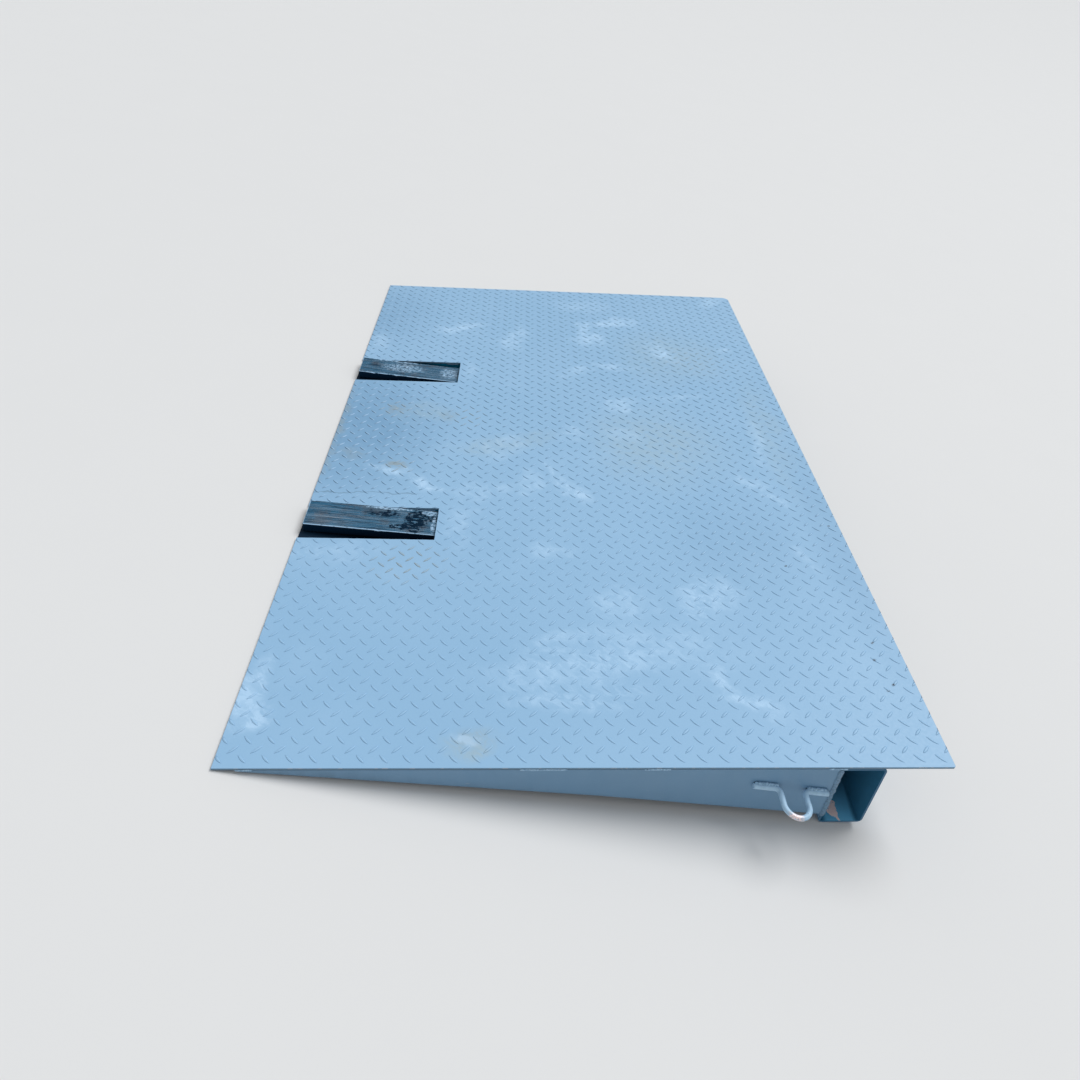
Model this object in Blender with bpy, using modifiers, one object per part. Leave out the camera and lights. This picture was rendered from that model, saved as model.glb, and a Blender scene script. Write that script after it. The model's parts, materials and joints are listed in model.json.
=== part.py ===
"""Welded steel loading ramp: a tread-plate deck on ribs and a box-section beam, with two fork pockets.

Metres, +Z up. The ramp stands on the ground with its low edge at -X, and Y runs across it.
The origin is at the middle of its footprint, on the ground. Most pieces are modelled in the deck's own
frame: x up the slope from the low edge, y across, z square to the deck with 0 at its top face.
"""
import math

import bpy
from mathutils import Matrix, Vector

GAP = 0.0003            # between pieces that are welded or rest on each other

# Deck plate
DECK_LENGTH = 1.500     # along the slope
DECK_WIDTH = 2.440
DECK_T = 0.006
FAR_CORNER_R = 0.028    # the high corner at +Y
NEAR_CORNER_R = 0.005   # the high corner at -Y
SLOTS = {               # open at the low edge: (low y, high y, length up the slope)
    "near": (-0.516, -0.378, 0.361),
    "far": (0.357, 0.508, 0.357),
}

# Box-section beam under the high side
LIP = 0.142             # how far the deck runs on past the beam
BEAM_W = 0.100
BEAM_H = 0.200
BEAM_WALL = 0.006
BEAM_R = 0.012
BEAM_X = DECK_LENGTH - LIP - BEAM_W

# Tapered plates square to the deck
PLATE_T = 0.006
SIDE_TOE = (0.052, -0.0105)     # (x, z) where the lower edge of a side plate or rib starts
SIDE_KNEE = (0.768, -0.099)     # where its slope changes
SIDE_HEEL_Z = -0.173            # its depth at the beam
RIB_YS = (-0.985, -0.755, -0.190, -0.010, 0.170, 0.750, 0.985)
WALL_SETBACK = 0.002            # from a slot's edge to the face of the pocket wall under it
WALL_TOE_X = 0.014
POCKET_END_X = 0.570            # where a pocket wall's lower edge leaves the ground

# Pocket floors and the bars in the slots
FLOOR_T = 0.005
FLOOR_START_X = 0.036
TONGUE_START_X = 0.002          # of the floor's narrower end, which lies in the slot in the deck plate
TONGUE_CLEARANCE = 0.001        # from the slot's edges
BAR_W = 0.106
BAR_T = 0.026
BAR_START_X = 0.012
BAR_LENGTH = 0.550
BAR_TOP_Z = 0.025               # of the bar's top face over the deck's top, at the low edge
BAR_FALL = 0.0957               # how fast that top face sinks into the slot
BAR_EDGE_R = 0.003
BAR_YS = {"near": -0.4335, "far": 0.4290}
REST_X = 0.480
REST_L = 0.050

# Flats on edge under the deck, half-lapped into the ribs: x up the slope and depth of each row
FLAT_ROWS = {"low": (0.320, 0.030), "middle": (0.640, 0.050), "high": (0.950, 0.060)}
FLAT_T = 0.006
LAP_CLEARANCE = 0.0003          # on each side of a lap's notch

# Lashing eyes: one round bar each, bent out from the side plate and back
EYE_BAR = 0.012
EYE_X = 1.168                   # the middle of the nose
EYE_Z = -0.0703
EYE_FALL = 0.1795               # the legs' slope against the deck
EYE_NOSE_R = 0.028
EYE_REACH = 0.0707              # from the plate to the nose's centre line
EYE_BEND_R = 0.011
EYE_LEG_LOW = 0.0864            # from the middle of the nose to each leg's end
EYE_LEG_HIGH = 0.0798

# Weld beads
EYE_BEAD = 0.006                # thickness of the bead over each leg
CORNER_BEAD = (0.0122, 0.0024)  # width and height on the plate
CORNER_BEAD_Z = (-0.180, -0.010)
STITCH_BEAD = (0.0050, 0.0018)
STITCHES = ((0.045, 0.078), (0.600, 0.695), (0.850, 0.905), (1.232, 1.272))    # (start x, end x)

PAINTS = {      # colour, metallic, roughness
    "deck_paint": ((0.32, 0.50, 0.70), 0.0, 0.50),
    "frame_paint": ((0.15, 0.26, 0.36), 0.0, 0.50),
    "pocket_paint": ((0.03, 0.08, 0.12), 0.0, 0.65),
    "eye_paint": ((0.30, 0.44, 0.58), 0.0, 0.45),
    "weld_paint": ((0.36, 0.49, 0.62), 0.0, 0.55),
    "worn_steel": ((0.14, 0.17, 0.20), 0.9, 0.45),
}


def slope_angle():
    """The deck's angle when its low edge and the beam's rounded lower corner both touch the ground."""
    run = BEAM_X + BEAM_R
    drop = BEAM_H - BEAM_R + GAP
    return math.atan2(drop, run) + math.asin(BEAM_R / math.hypot(run, drop))


SLOPE = slope_angle()
FOOT_LENGTH = DECK_LENGTH * math.cos(SLOPE) + DECK_T * math.sin(SLOPE)
LOW_EDGE_X = -FOOT_LENGTH / 2 + DECK_T * math.sin(SLOPE)    # of the corner that touches the ground


def ground_z(x):
    """The ground's height in the deck's frame, under a point x up the slope."""
    return -DECK_T - x * math.tan(SLOPE)


def clear_scene():
    for old in list(bpy.data.objects):
        bpy.data.objects.remove(old, do_unlink=True)


def paint(name):
    """The named finish, made on first use."""
    found = bpy.data.materials.get(name)
    if found:
        return found
    colour, metallic, roughness = PAINTS[name]
    made = bpy.data.materials.new(name)
    made.use_nodes = True
    shader = made.node_tree.nodes["Principled BSDF"]
    shader.inputs["Base Color"].default_value = (*colour, 1.0)
    shader.inputs["Metallic"].default_value = metallic
    shader.inputs["Roughness"].default_value = roughness
    return made


def add_frame(name, location, turn, collection):
    """An empty that pieces are parented to."""
    frame = bpy.data.objects.new(name, None)
    collection.objects.link(frame)
    frame.location = location
    frame.rotation_euler = (0.0, turn, 0.0)
    return frame


def add_piece(name, data, finish, frame):
    """One sub-part from mesh or curve data, in its parent frame."""
    data.materials.append(paint(finish))
    piece = bpy.data.objects.new(name, data)
    frame.users_collection[0].objects.link(piece)
    piece.parent = frame
    return piece


def arc(centre, radius, start, end, steps):
    """Points on an arc, with its angles in degrees."""
    points = []
    for i in range(steps + 1):
        angle = math.radians(start + (end - start) * i / steps)
        points.append((centre[0] + radius * math.cos(angle), centre[1] + radius * math.sin(angle)))
    return points


def rounded_rectangle(low, high, radius, steps):
    """A closed outline with four round corners."""
    (x0, y0), (x1, y1) = low, high
    corners = (
        ((x1 - radius, y0 + radius), -90),
        ((x1 - radius, y1 - radius), 0),
        ((x0 + radius, y1 - radius), 90),
        ((x0 + radius, y0 + radius), 180),
    )
    points = []
    for centre, start in corners:
        points += arc(centre, radius, start, start + 90, steps)
    return points


def add_plate(name, outlines, thickness, finish, frame):
    """A flat plate with the given outlines, half its thickness on each side of its own XY plane."""
    data = bpy.data.curves.new(name, "CURVE")
    data.dimensions = "2D"
    data.fill_mode = "BOTH"
    data.extrude = thickness / 2
    for outline in outlines:
        spline = data.splines.new("POLY")
        spline.points.add(len(outline) - 1)
        for point, (x, y) in zip(spline.points, outline):
            point.co = (x, y, 0.0, 1.0)
        spline.use_cyclic_u = True
    return add_piece(name, data, finish, frame)


def add_upright_plate(name, outlines, y, thickness, finish, frame):
    """A plate square to the deck, along the slope: its outlines are in (x, z) of the deck's frame."""
    piece = add_plate(name, outlines, thickness, finish, frame)
    piece.rotation_euler = (math.pi / 2, 0.0, 0.0)
    piece.location = (0.0, y, 0.0)
    return piece


def add_box(name, low, high, finish, frame, edge_radius=0.0):
    """A box given by its low and high corners, with rounded edges if asked."""
    low, high = Vector(low), Vector(high)
    bpy.ops.mesh.primitive_cube_add(size=1.0)
    piece = bpy.context.active_object
    data = piece.data
    data.name = name
    data.transform(Matrix.Translation((low + high) / 2) @ Matrix.Diagonal((*(high - low), 1.0)))
    bpy.data.objects.remove(piece, do_unlink=True)
    piece = add_piece(name, data, finish, frame)
    if edge_radius:
        bevel = piece.modifiers.new("rounded_edges", "BEVEL")
        bevel.width = edge_radius
        bevel.segments = 2
        bevel.limit_method = "ANGLE"
    return piece


def add_round_bar(name, route, radius, finish, frame):
    """A round bar along an open route, with closed ends."""
    data = bpy.data.curves.new(name, "CURVE")
    data.dimensions = "3D"
    data.bevel_depth = radius
    data.bevel_resolution = 3
    data.use_fill_caps = True
    spline = data.splines.new("POLY")
    spline.points.add(len(route) - 1)
    for point, place in zip(spline.points, route):
        point.co = (*place, 1.0)
    return add_piece(name, data, finish, frame)


def deck_outline():
    """Round the plate from its low corner at -Y, with the slots as notches in the low edge."""
    half = DECK_WIDTH / 2
    near_centre = (DECK_LENGTH - NEAR_CORNER_R, -half + NEAR_CORNER_R)
    far_centre = (DECK_LENGTH - FAR_CORNER_R, half - FAR_CORNER_R)
    points = [(0.0, -half)]
    points += arc(near_centre, NEAR_CORNER_R, -90, 0, 4)
    points += arc(far_centre, FAR_CORNER_R, 0, 90, 8)
    points.append((0.0, half))
    for side in ("far", "near"):
        low, high, length = SLOTS[side]
        points += [(0.0, high), (length, high), (length, low), (0.0, low)]
    return points


def make_deck(deck):
    plate = add_plate("deck_plate", [deck_outline()], DECK_T, "deck_paint", deck)
    plate.location = (0.0, 0.0, -DECK_T / 2)


def make_beam(deck):
    """The open-ended box section, flush with the deck's two side edges."""
    low = (BEAM_X, -DECK_T - GAP - BEAM_H)
    high = (BEAM_X + BEAM_W, -DECK_T - GAP)
    outer = rounded_rectangle(low, high, BEAM_R, 6)
    inner_low = (low[0] + BEAM_WALL, low[1] + BEAM_WALL)
    inner_high = (high[0] - BEAM_WALL, high[1] - BEAM_WALL)
    inner = rounded_rectangle(inner_low, inner_high, BEAM_R - BEAM_WALL, 4)
    add_upright_plate("high_beam", [outer, inner], 0.0, DECK_WIDTH, "frame_paint", deck)


def notches(centres, width, start, end):
    """Points of square notches in an edge, in order along it: from start to end and back at each centre."""
    points = []
    for centre in centres:
        left, right = centre - width / 2, centre + width / 2
        points += [(left, start), (left, end), (right, end), (right, start)]
    return points


def top_edge(rows):
    """A rib's straight top edge, notched half-way down for the given rows of flats."""
    top = -DECK_T - GAP
    points = []
    for row in rows:
        x, depth = FLAT_ROWS[row]
        points += notches([x], FLAT_T + 2 * LAP_CLEARANCE, top, top - depth / 2 - GAP)
    return points


def tapered_outline(rows=()):
    """A side plate or rib, from its thin toe to the beam."""
    top = -DECK_T - GAP
    end = BEAM_X - GAP
    lower = [(end, top), (end, SIDE_HEEL_Z), SIDE_KNEE, SIDE_TOE]
    return [(SIDE_TOE[0], top), *top_edge(rows), *lower]


def pocket_wall_outline(rows):
    """A deeper rib, whose lower edge lies on the ground as far as the pocket floor goes."""
    top = -DECK_T - GAP
    end = BEAM_X - GAP
    ground_run = [(x, ground_z(x) + GAP) for x in (POCKET_END_X, WALL_TOE_X)]
    lower = [(end, top), (end, SIDE_HEEL_Z), *ground_run]
    return [(WALL_TOE_X, top), *top_edge(rows), *lower]


def wall_ys(side):
    """The middles of the two walls of one pocket."""
    low, high, _ = SLOTS[side]
    offset = WALL_SETBACK + PLATE_T / 2
    return low - offset, high + offset


def make_uprights(deck):
    """The two side plates, the ribs and the pocket walls."""
    edge = DECK_WIDTH / 2 - PLATE_T / 2
    for side, y in (("near", -edge), ("far", edge)):
        add_upright_plate(f"side_plate_{side}", [tapered_outline()], y, PLATE_T, "frame_paint", deck)
    for number, y in enumerate(RIB_YS, 1):
        outline = tapered_outline(("low", "middle", "high"))
        add_upright_plate(f"rib_{number}", [outline], y, PLATE_T, "frame_paint", deck)
    for side in SLOTS:
        for number, y in enumerate(wall_ys(side), 1):
            name = f"pocket_wall_{side}_{number}"
            outline = pocket_wall_outline(("middle", "high"))
            add_upright_plate(name, [outline], y, PLATE_T, "pocket_paint", deck)


def make_cross_flats(deck):
    """Each flat runs across under the deck, its lower half notched over the uprights that it crosses."""
    side_face = DECK_WIDTH / 2 - PLATE_T
    walls = [*wall_ys("near"), *wall_ys("far")]
    wall_face = PLATE_T / 2
    runs = [
        ("low_near", "low", -side_face, walls[0] - wall_face),
        ("low_middle", "low", walls[1] + wall_face, walls[2] - wall_face),
        ("low_far", "low", walls[3] + wall_face, side_face),
        ("middle", "middle", -side_face, side_face),
        ("high", "high", -side_face, side_face),
    ]
    for name, row, start, end in runs:
        x, depth = FLAT_ROWS[row]
        start, end = start + GAP, end - GAP
        top = -DECK_T - GAP
        crossed = sorted(y for y in (*RIB_YS, *walls) if start < y < end)
        bottom = notches(crossed, PLATE_T + 2 * LAP_CLEARANCE, top - depth, top - depth / 2)
        outline = [(start, top), (start, top - depth), *bottom, (end, top - depth), (end, top)]
        piece = add_plate(f"cross_flat_{name}", [outline], FLAT_T, "frame_paint", deck)
        piece.rotation_euler = (math.pi / 2, 0.0, math.pi / 2)
        piece.location = (x, 0.0, 0.0)


def bar_underside(x):
    """The height over the ground of a slot bar's lower face, at x from the low edge along the ground."""
    tilt = SLOPE - math.atan(BAR_FALL)
    start_top = BAR_START_X * math.sin(SLOPE)
    start_top += (BAR_TOP_Z - BAR_FALL * BAR_START_X + DECK_T) * math.cos(SLOPE)
    return start_top - BAR_T / math.cos(tilt) + (x - BAR_START_X) * math.tan(tilt)


def floor_outline(side):
    """A pocket floor from wall to wall, with a tongue that fills the foot of the slot."""
    wall_low, wall_high = wall_ys(side)
    low, high = wall_low + PLATE_T / 2 + GAP, wall_high - PLATE_T / 2 - GAP
    slot_low, slot_high, _ = SLOTS[side]
    tongue_low, tongue_high = slot_low + TONGUE_CLEARANCE, slot_high - TONGUE_CLEARANCE
    end = POCKET_END_X * math.cos(SLOPE)
    return [
        (TONGUE_START_X, tongue_low),
        (FLOOR_START_X, tongue_low),
        (FLOOR_START_X, low),
        (end, low),
        (end, high),
        (FLOOR_START_X, high),
        (FLOOR_START_X, tongue_high),
        (TONGUE_START_X, tongue_high),
    ]


def make_pockets(deck, ground):
    """In each pocket a floor on the ground, a solid bar that shows in the slot, and the rest under it."""
    for side in SLOTS:
        floor = add_plate(f"pocket_floor_{side}", [floor_outline(side)], FLOOR_T, "pocket_paint", ground)
        floor.location = (0.0, 0.0, FLOOR_T / 2)

        y = BAR_YS[side]
        rest_low = (REST_X, y - BAR_W / 2, FLOOR_T + GAP)
        rest_high = (REST_X + REST_L, y + BAR_W / 2, bar_underside(REST_X) - GAP)
        add_box(f"bar_rest_{side}", rest_low, rest_high, "pocket_paint", ground)

        bar_corners = ((0.0, -BAR_W / 2, -BAR_T), (BAR_LENGTH, BAR_W / 2, 0.0))
        piece = add_box(f"slot_bar_{side}", *bar_corners, "worn_steel", deck, BAR_EDGE_R)
        piece.location = (BAR_START_X, y, BAR_TOP_Z - BAR_FALL * BAR_START_X)
        piece.rotation_euler = (0.0, math.atan(BAR_FALL), 0.0)


def eye_route():
    """One eye's centre line in (along the plate, out from it): leg, bend, nose, bend, leg."""
    foot = EYE_BAR / 2 + GAP
    bend_y = foot + EYE_BEND_R
    bend_x = EYE_NOSE_R + EYE_BEND_R
    points = [(-EYE_LEG_LOW, foot)]
    points += arc((-bend_x, bend_y), EYE_BEND_R, -90, 0, 6)
    points += arc((0.0, EYE_REACH - EYE_NOSE_R), EYE_NOSE_R, 180, 0, 14)
    points += arc((bend_x, bend_y), EYE_BEND_R, 180, 270, 6)
    points.append((EYE_LEG_HIGH, foot))
    return points


def eye_bead_routes():
    """The beads over an eye's two legs, as (along the plate, out from it, up from the legs)."""
    radius = EYE_BEAD / 2
    out = radius + GAP
    reach = EYE_BAR / 2 + radius + GAP
    up = math.sqrt(reach ** 2 - (EYE_BAR / 2 - radius) ** 2)
    inner = EYE_NOSE_R + EYE_BEND_R / 2
    spans = ((-EYE_LEG_LOW + radius, -inner), (inner, EYE_LEG_HIGH - radius))
    return [[(start, out, up), (end, out, up)] for start, end in spans]


def make_lashing_eyes(deck):
    for side, sign in (("near", -1), ("far", 1)):
        bar = [(x, sign * out, 0.0) for x, out in eye_route()]
        eye = add_round_bar(f"lashing_eye_{side}", bar, EYE_BAR / 2, "eye_paint", deck)
        pieces = [eye]
        for leg, route in zip(("low", "high"), eye_bead_routes()):
            bead = [(x, sign * out, up) for x, out, up in route]
            pieces.append(add_round_bar(f"eye_weld_{side}_{leg}", bead, EYE_BEAD / 2, "weld_paint", deck))
        for piece in pieces:
            piece.location = (EYE_X, sign * DECK_WIDTH / 2, EYE_Z)
            piece.rotation_euler = (0.0, math.atan(EYE_FALL), 0.0)


def add_edge_bead(name, side, x_span, z_span, height, deck):
    """A low bead on one of the ramp's two side faces."""
    sign = -1 if side == "near" else 1
    face = sign * (DECK_WIDTH / 2 + GAP)
    low_y, high_y = sorted((face, face + sign * height))
    low = (x_span[0], low_y, z_span[0])
    high = (x_span[1], high_y, z_span[1])
    add_box(name, low, high, "weld_paint", deck, height / 3)


def make_edge_welds(deck):
    """On each side, the bead down the joint with the beam, and the stitches along the deck's edge."""
    joint_x = BEAM_X + BEAM_WALL / 2 - GAP
    corner_width, corner_height = CORNER_BEAD
    corner_span = (joint_x - corner_width / 2, joint_x + corner_width / 2)
    stitch_width, stitch_height = STITCH_BEAD
    seam_span = (-DECK_T - stitch_width / 2, -DECK_T + stitch_width / 2)
    for side in ("near", "far"):
        add_edge_bead(f"corner_weld_{side}", side, corner_span, CORNER_BEAD_Z, corner_height, deck)
        for number, x_span in enumerate(STITCHES, 1):
            add_edge_bead(f"stitch_weld_{side}_{number}", side, x_span, seam_span, stitch_height, deck)


def main():
    clear_scene()
    collection = bpy.data.collections.new("loading_ramp")
    bpy.context.scene.collection.children.link(collection)
    top_x = LOW_EDGE_X - DECK_T * math.sin(SLOPE)
    deck = add_frame("deck_frame", (top_x, 0.0, DECK_T * math.cos(SLOPE)), -SLOPE, collection)
    ground = add_frame("ground_frame", (LOW_EDGE_X, 0.0, 0.0), 0.0, collection)
    make_deck(deck)
    make_beam(deck)
    make_uprights(deck)
    make_cross_flats(deck)
    make_pockets(deck, ground)
    make_lashing_eyes(deck)
    make_edge_welds(deck)
    bpy.context.view_layer.update()


main()
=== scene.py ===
"""The finished look of a welded steel loading ramp: its tread plate, worn slot bars, weld beads and paint.

Sizes are in metres. Pieces are laid out in the deck's own frame: x up the slope from the low edge,
y across the ramp, z square to the deck with 0 at the plate's top face.
"""

import json
import math
import random

import bmesh
import bpy
from bpy.props import FloatProperty, FloatVectorProperty, IntProperty, PointerProperty
from mathutils import Matrix, Vector, noise


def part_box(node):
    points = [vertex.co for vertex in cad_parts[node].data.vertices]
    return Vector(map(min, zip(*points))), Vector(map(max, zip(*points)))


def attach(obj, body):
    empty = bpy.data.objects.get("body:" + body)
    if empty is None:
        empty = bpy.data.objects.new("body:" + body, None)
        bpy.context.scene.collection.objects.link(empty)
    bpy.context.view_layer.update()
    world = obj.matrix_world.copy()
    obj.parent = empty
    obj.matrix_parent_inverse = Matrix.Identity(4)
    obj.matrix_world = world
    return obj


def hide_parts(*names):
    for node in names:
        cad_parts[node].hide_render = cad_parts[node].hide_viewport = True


bl_info = {
    "name": "Loading Ramp",
    "version": (1, 0, 0),
    "blender": (4, 5, 0),
    "location": "3D View > Sidebar > Ramp",
    "description": "Builds the tread plate, bars, welds, paint and stage of a steel loading ramp",
    "category": "Object",
}

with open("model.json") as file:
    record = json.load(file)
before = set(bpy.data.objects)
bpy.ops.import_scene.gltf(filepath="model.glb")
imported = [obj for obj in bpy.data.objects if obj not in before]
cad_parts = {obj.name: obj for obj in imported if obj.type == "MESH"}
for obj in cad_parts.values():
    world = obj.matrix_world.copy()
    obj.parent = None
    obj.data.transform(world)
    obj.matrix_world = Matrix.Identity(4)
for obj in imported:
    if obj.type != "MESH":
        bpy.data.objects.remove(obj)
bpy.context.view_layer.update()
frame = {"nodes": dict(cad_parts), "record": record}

DECK_T = 0.006
DECK_LENGTH = 1.500
SLOT_LENGTHS = {"near": 0.361, "far": 0.357}
WALL_SETBACK = 0.002        # the pocket walls stand this far back from the slots' edges
SHARP_ANGLE = math.radians(40)
SIDES = {"near": -1, "far": 1}


def mount(name):
    """One of the record's mounts."""
    return next(m for m in frame["record"]["mounts"] if m["name"] == name)


def deck_frame():
    """The matrix from the deck's own frame to the ramp's."""
    out = mount("sill_face")["axis"]
    slope = math.atan2(out[2], out[0])
    low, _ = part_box("deck_plate")
    place = Matrix.Translation((low.x, 0.0, DECK_T * math.cos(slope)))
    return place @ Matrix.Rotation(-slope, 4, "Y")


DECK = deck_frame()
TO_DECK = DECK.inverted()
HALF_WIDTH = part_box("deck_plate")[1].y


def slot_edges(side):
    """The two edges of a fork slot across the ramp, from the pocket walls under them."""
    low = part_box(f"pocket_wall_{side}_1")[1].y + WALL_SETBACK
    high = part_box(f"pocket_wall_{side}_2")[0].y - WALL_SETBACK
    return low, high


def deck_points(node):
    """A node's corners in the deck's frame."""
    return [TO_DECK @ v.co for v in frame["nodes"][node].data.vertices]


def box_round(points):
    """The lowest and the highest corner of the box round some points."""
    return tuple(Vector([pick(p[i] for p in points) for i in range(3)]) for pick in (min, max))


def deck_box(node):
    """A node's box in the deck's frame."""
    return box_round(deck_points(node))


# ---------------------------------------------------------------- settings

def length(name, description, default):
    return FloatProperty(name=name, description=description, default=default, unit="LENGTH", precision=5)


def share(name, description, default):
    return FloatProperty(name=name, description=description, default=default, min=0.0, max=1.0)


def number(name, description, default):
    return FloatProperty(name=name, description=description, default=default)


def degrees(name, description, default):
    return FloatProperty(name=name, description=description, default=math.radians(default), subtype="ANGLE")


def position(name, description, default):
    return FloatVectorProperty(name=name, description=description, default=default, unit="LENGTH")


def colour(name, description, default):
    return FloatVectorProperty(
        name=name, description=description, default=default, subtype="COLOR", size=3, min=0.0, max=1.0
    )


class RampTreadSettings(bpy.types.PropertyGroup):
    """The raised pattern and the edges of the deck plate."""

    pitch_x: length("Pitch up the slope", "Between like lozenges, up the slope", 0.0459)
    pitch_y: length("Pitch across", "Between like lozenges, across the ramp", 0.0446)
    first_x: length("First lozenge up", "The first lozenge's middle, from the low edge", 0.0071)
    first_y: length("First lozenge across", "The first row's middle, from the near edge", 0.0212)
    lozenge_length: length("Lozenge length", "From tip to tip", 0.0290)
    lozenge_width: length("Lozenge width", "At the middle", 0.0078)
    lozenge_height: length("Lozenge height", "Over the plate", 0.0010)
    edge_wear: length("Edge wear", "Width of the plate's worn edge", 0.0008)
    cut_wobble: length("Cut wobble", "How far the hand-cut slot edges stray", 0.0007)
    far_corner: length("Far corner", "Radius of the far high corner", 0.028)
    near_corner: length("Near corner", "Radius of the near high corner", 0.005)


class RampSteelSettings(bpy.types.PropertyGroup):
    """Sizes of the beam, bars and eyes beyond what the frame gives."""

    beam_wall: length("Beam wall", "Wall of the box section", 0.006)
    beam_radius: length("Beam corner", "Outer corner radius of the box section", 0.012)
    bar_radius: length("Bar edge", "Rounding of the slot bars' edges", 0.003)
    bar_dents: length("Bar dents", "Depth of the nicks along the slot bars' edges", 0.0020)
    eye_bar: length("Eye bar", "Diameter of the lashing eyes' bar", 0.012)
    eye_nose: length("Eye nose", "Radius of the eyes' round nose, at its centre line", 0.028)
    eye_bend: length("Eye bend", "Radius of the bends at the plate", 0.011)
    plate_edge: length("Plate edge", "Rounding of the cut edges of plates", 0.0007)


class RampWeldSettings(bpy.types.PropertyGroup):
    """The weld beads."""

    ripple: length("Ripple", "Spacing of a bead's ripples", 0.0042)
    lump: share("Lumpiness", "How much a bead's size wanders", 0.30)
    fillet: length("Fillet", "Size of the fillets under the deck", 0.0055)
    stitch: length("Stitch", "Length of each fillet under the deck", 0.045)
    stitches: IntProperty(name="Stitches", description="Fillets on each face of a rib", default=6, min=1)


class RampFinishSettings(bpy.types.PropertyGroup):
    """Colours of the paint, of what has settled on it, and of painted light and shade."""

    deck_paint: colour("Deck paint", "Faded paint of the tread plate", (0.288, 0.498, 0.722))
    deck_shade: colour("Deck shade", "Grimy paint by the low edge", (0.150, 0.318, 0.515))
    # Painted shade: the colour laid round the lozenges' feet and on their lee side.
    foot_shade: colour("Foot dirt", "Dirt round the feet of the lozenges", (0.060, 0.150, 0.262))
    frame_paint: colour("Frame paint", "Paint of the plates and the beam", (0.156, 0.302, 0.464))
    # Also used as painted shade on the deck plate's cut edges.
    frame_grime_and_shade: colour("Frame grime", "Road dirt low on the frame", (0.110, 0.190, 0.265))
    # Painted light and shade in the bore: the first colour is a painted pool of light on its floor at the
    # mouth, the second painted shade deeper in.
    bore_lit_paint: colour("Bore paint", "Paint on the beam's inner floor at its mouth", (0.150, 0.500, 0.780))
    bore_shade: colour("Bore shade", "Paint inside the beam, away from its mouth", (0.000, 0.060, 0.130))
    # Painted shade: the darker paint inside the fork pockets.
    pocket_paint: colour("Pocket paint", "Dirty paint inside the fork pockets", (0.004, 0.210, 0.380))
    bead_paint: colour("Bead paint", "Paint on the weld beads and eyes", (0.400, 0.600, 0.780))
    dust: colour("Dust", "Pale dust on the deck", (0.440, 0.655, 0.880))
    ochre: colour("Ochre", "Yellow-brown dirt", (0.300, 0.350, 0.350))
    clay: colour("Clay", "Pale yellow-green dust", (0.360, 0.500, 0.590))
    rust: colour("Rust", "Rust specks", (0.050, 0.050, 0.055))
    bare: colour("Bare steel", "Rubbed steel", (0.480, 0.520, 0.580))
    primer: colour("Primer", "Pinkish primer where paint is gone", (1.000, 0.780, 0.760))
    bar_steel: colour("Bar steel", "Worn steel of the slot bars", (0.028, 0.116, 0.208))
    bar_pale: colour("Bar scratches", "Scratched steel of the slot bars", (0.150, 0.265, 0.370))
    bar_brown: colour("Bar brown", "Rust film on the slot bars", (0.052, 0.084, 0.124))
    # Also painted shade on the bars' sides and low in the fork pockets.
    bar_grease_and_shade: colour("Bar dark", "Grease and scale on the slot bars", (0.001, 0.014, 0.034))


class RampStageSettings(bpy.types.PropertyGroup):
    """Floor, light and camera."""

    floor: colour("Floor", "The pale floor", (0.74, 0.74, 0.74))
    floor_level: length("Level floor", "Radius of its level part", 9.0)
    floor_rim: length("Floor rim", "Radius of its gently raised rim", 90.0)
    sky: number("Sky", "Strength of the even light", 0.46)
    sun: number("Sun", "Strength of the soft main light", 2.15)
    sun_height: degrees("Sun height", "Over the horizon", 58)
    sun_bearing: degrees("Sun bearing", "From +X towards +Y", 38)
    sun_softness: degrees("Sun softness", "Angle that it fills", 35)
    camera_place: position("Camera", "Where it stands", (-0.3646, -2.1274, 1.4293))
    camera_aim: position("Aim", "A point on its axis", (-0.0148, -0.4401, 0.12))
    camera_roll: degrees("Roll", "Turn about its axis", 15.31)
    lens: number("Lens", "Focal length in millimetres", 25.90)
    shift_x: number("Shift X", "Sideways shift, in sensor widths", -0.0301)
    shift_y: number("Shift Y", "Upward shift, in sensor widths", -0.0141)


# ---------------------------------------------------------------- shape helpers

def add_object(name, data):
    """An object in the scene for a mesh, lamp or camera."""
    made = bpy.data.objects.new(name, data)
    bpy.context.scene.collection.objects.link(made)
    return made


def to_mesh(name, shape, finish):
    """Turns a bmesh into a mesh with one material."""
    data = bpy.data.meshes.new(name)
    shape.to_mesh(data)
    shape.free()
    data.materials.append(finish)
    return data


def new_piece(name, shape, finish, replaced=(), smooth=True):
    """A piece from a bmesh in the deck's frame, riding on the ramp's one body."""
    if smooth:
        bmesh.ops.recalc_face_normals(shape, faces=shape.faces)
    data = to_mesh(name, shape, finish)
    data.transform(DECK)
    if smooth:
        data.shade_smooth()
        data.set_sharp_from_angle(angle=SHARP_ANGLE)
    piece = add_object(name, data)
    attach(piece, "root")
    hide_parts(*replaced)
    return piece


def arc(centre, radius, start, end, steps):
    """Points on an arc, with its angles in degrees."""
    points = []
    for i in range(steps + 1):
        angle = math.radians(start + (end - start) * i / steps)
        points.append((centre[0] + radius * math.cos(angle), centre[1] + radius * math.sin(angle)))
    return points


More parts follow.
